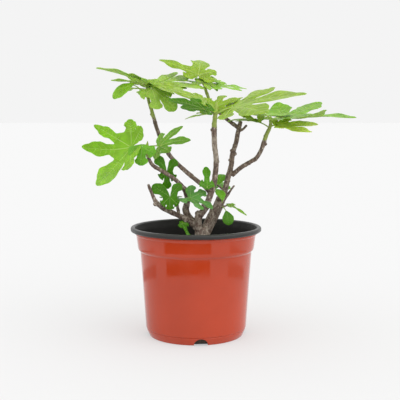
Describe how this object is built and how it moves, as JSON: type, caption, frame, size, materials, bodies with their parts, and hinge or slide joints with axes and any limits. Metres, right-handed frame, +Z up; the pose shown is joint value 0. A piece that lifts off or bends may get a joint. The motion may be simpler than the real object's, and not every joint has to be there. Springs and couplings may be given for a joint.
{
  "type": "potted fig tree",
  "caption": "Young fig tree with bare branching boughs and clusters of lobed leaves, standing in a round terracotta-coloured nursery pot filled with soil.",
  "frame": {"origin": "middle of the pot's flat underside", "axes": "+Z up the pot's axis, -Y towards the side seen in the picture, +X to its right"},
  "size_m": [0.3958, 0.228, 0.4043],
  "materials": {
    "pot_plastic": "semi-gloss",
    "soil": "rough",
    "bark": "rough",
    "leaves": "satin"
  },
  "bodies": {
    "root": {"pot": "pot_plastic", "soil": "soil", "trunk": "bark", "bough_stump": "bark", "bough_back": "bark", "bough_centre": "bark", "bough_left": "bark", "bough_left_low": "bark", "bough_upper_left": "bark", "bough_right": "bark", "bough_top": "bark", "twig_low_left": "bark", "twig_stub": "bark", "twig_bare": "bark", "foliage_top": "leaves", "foliage_upper_left": "leaves", "foliage_left": "leaves", "foliage_centre": "leaves", "foliage_right": "leaves", "foliage_inner": "leaves", "foliage_low_left": "leaves", "foliage_middle": "leaves", "foliage_stem": "leaves", "foliage_behind": "leaves", "foliage_pale": "leaves", "foliage_low_right": "leaves", "foliage_base": "leaves"}
  },
  "joints": []
}
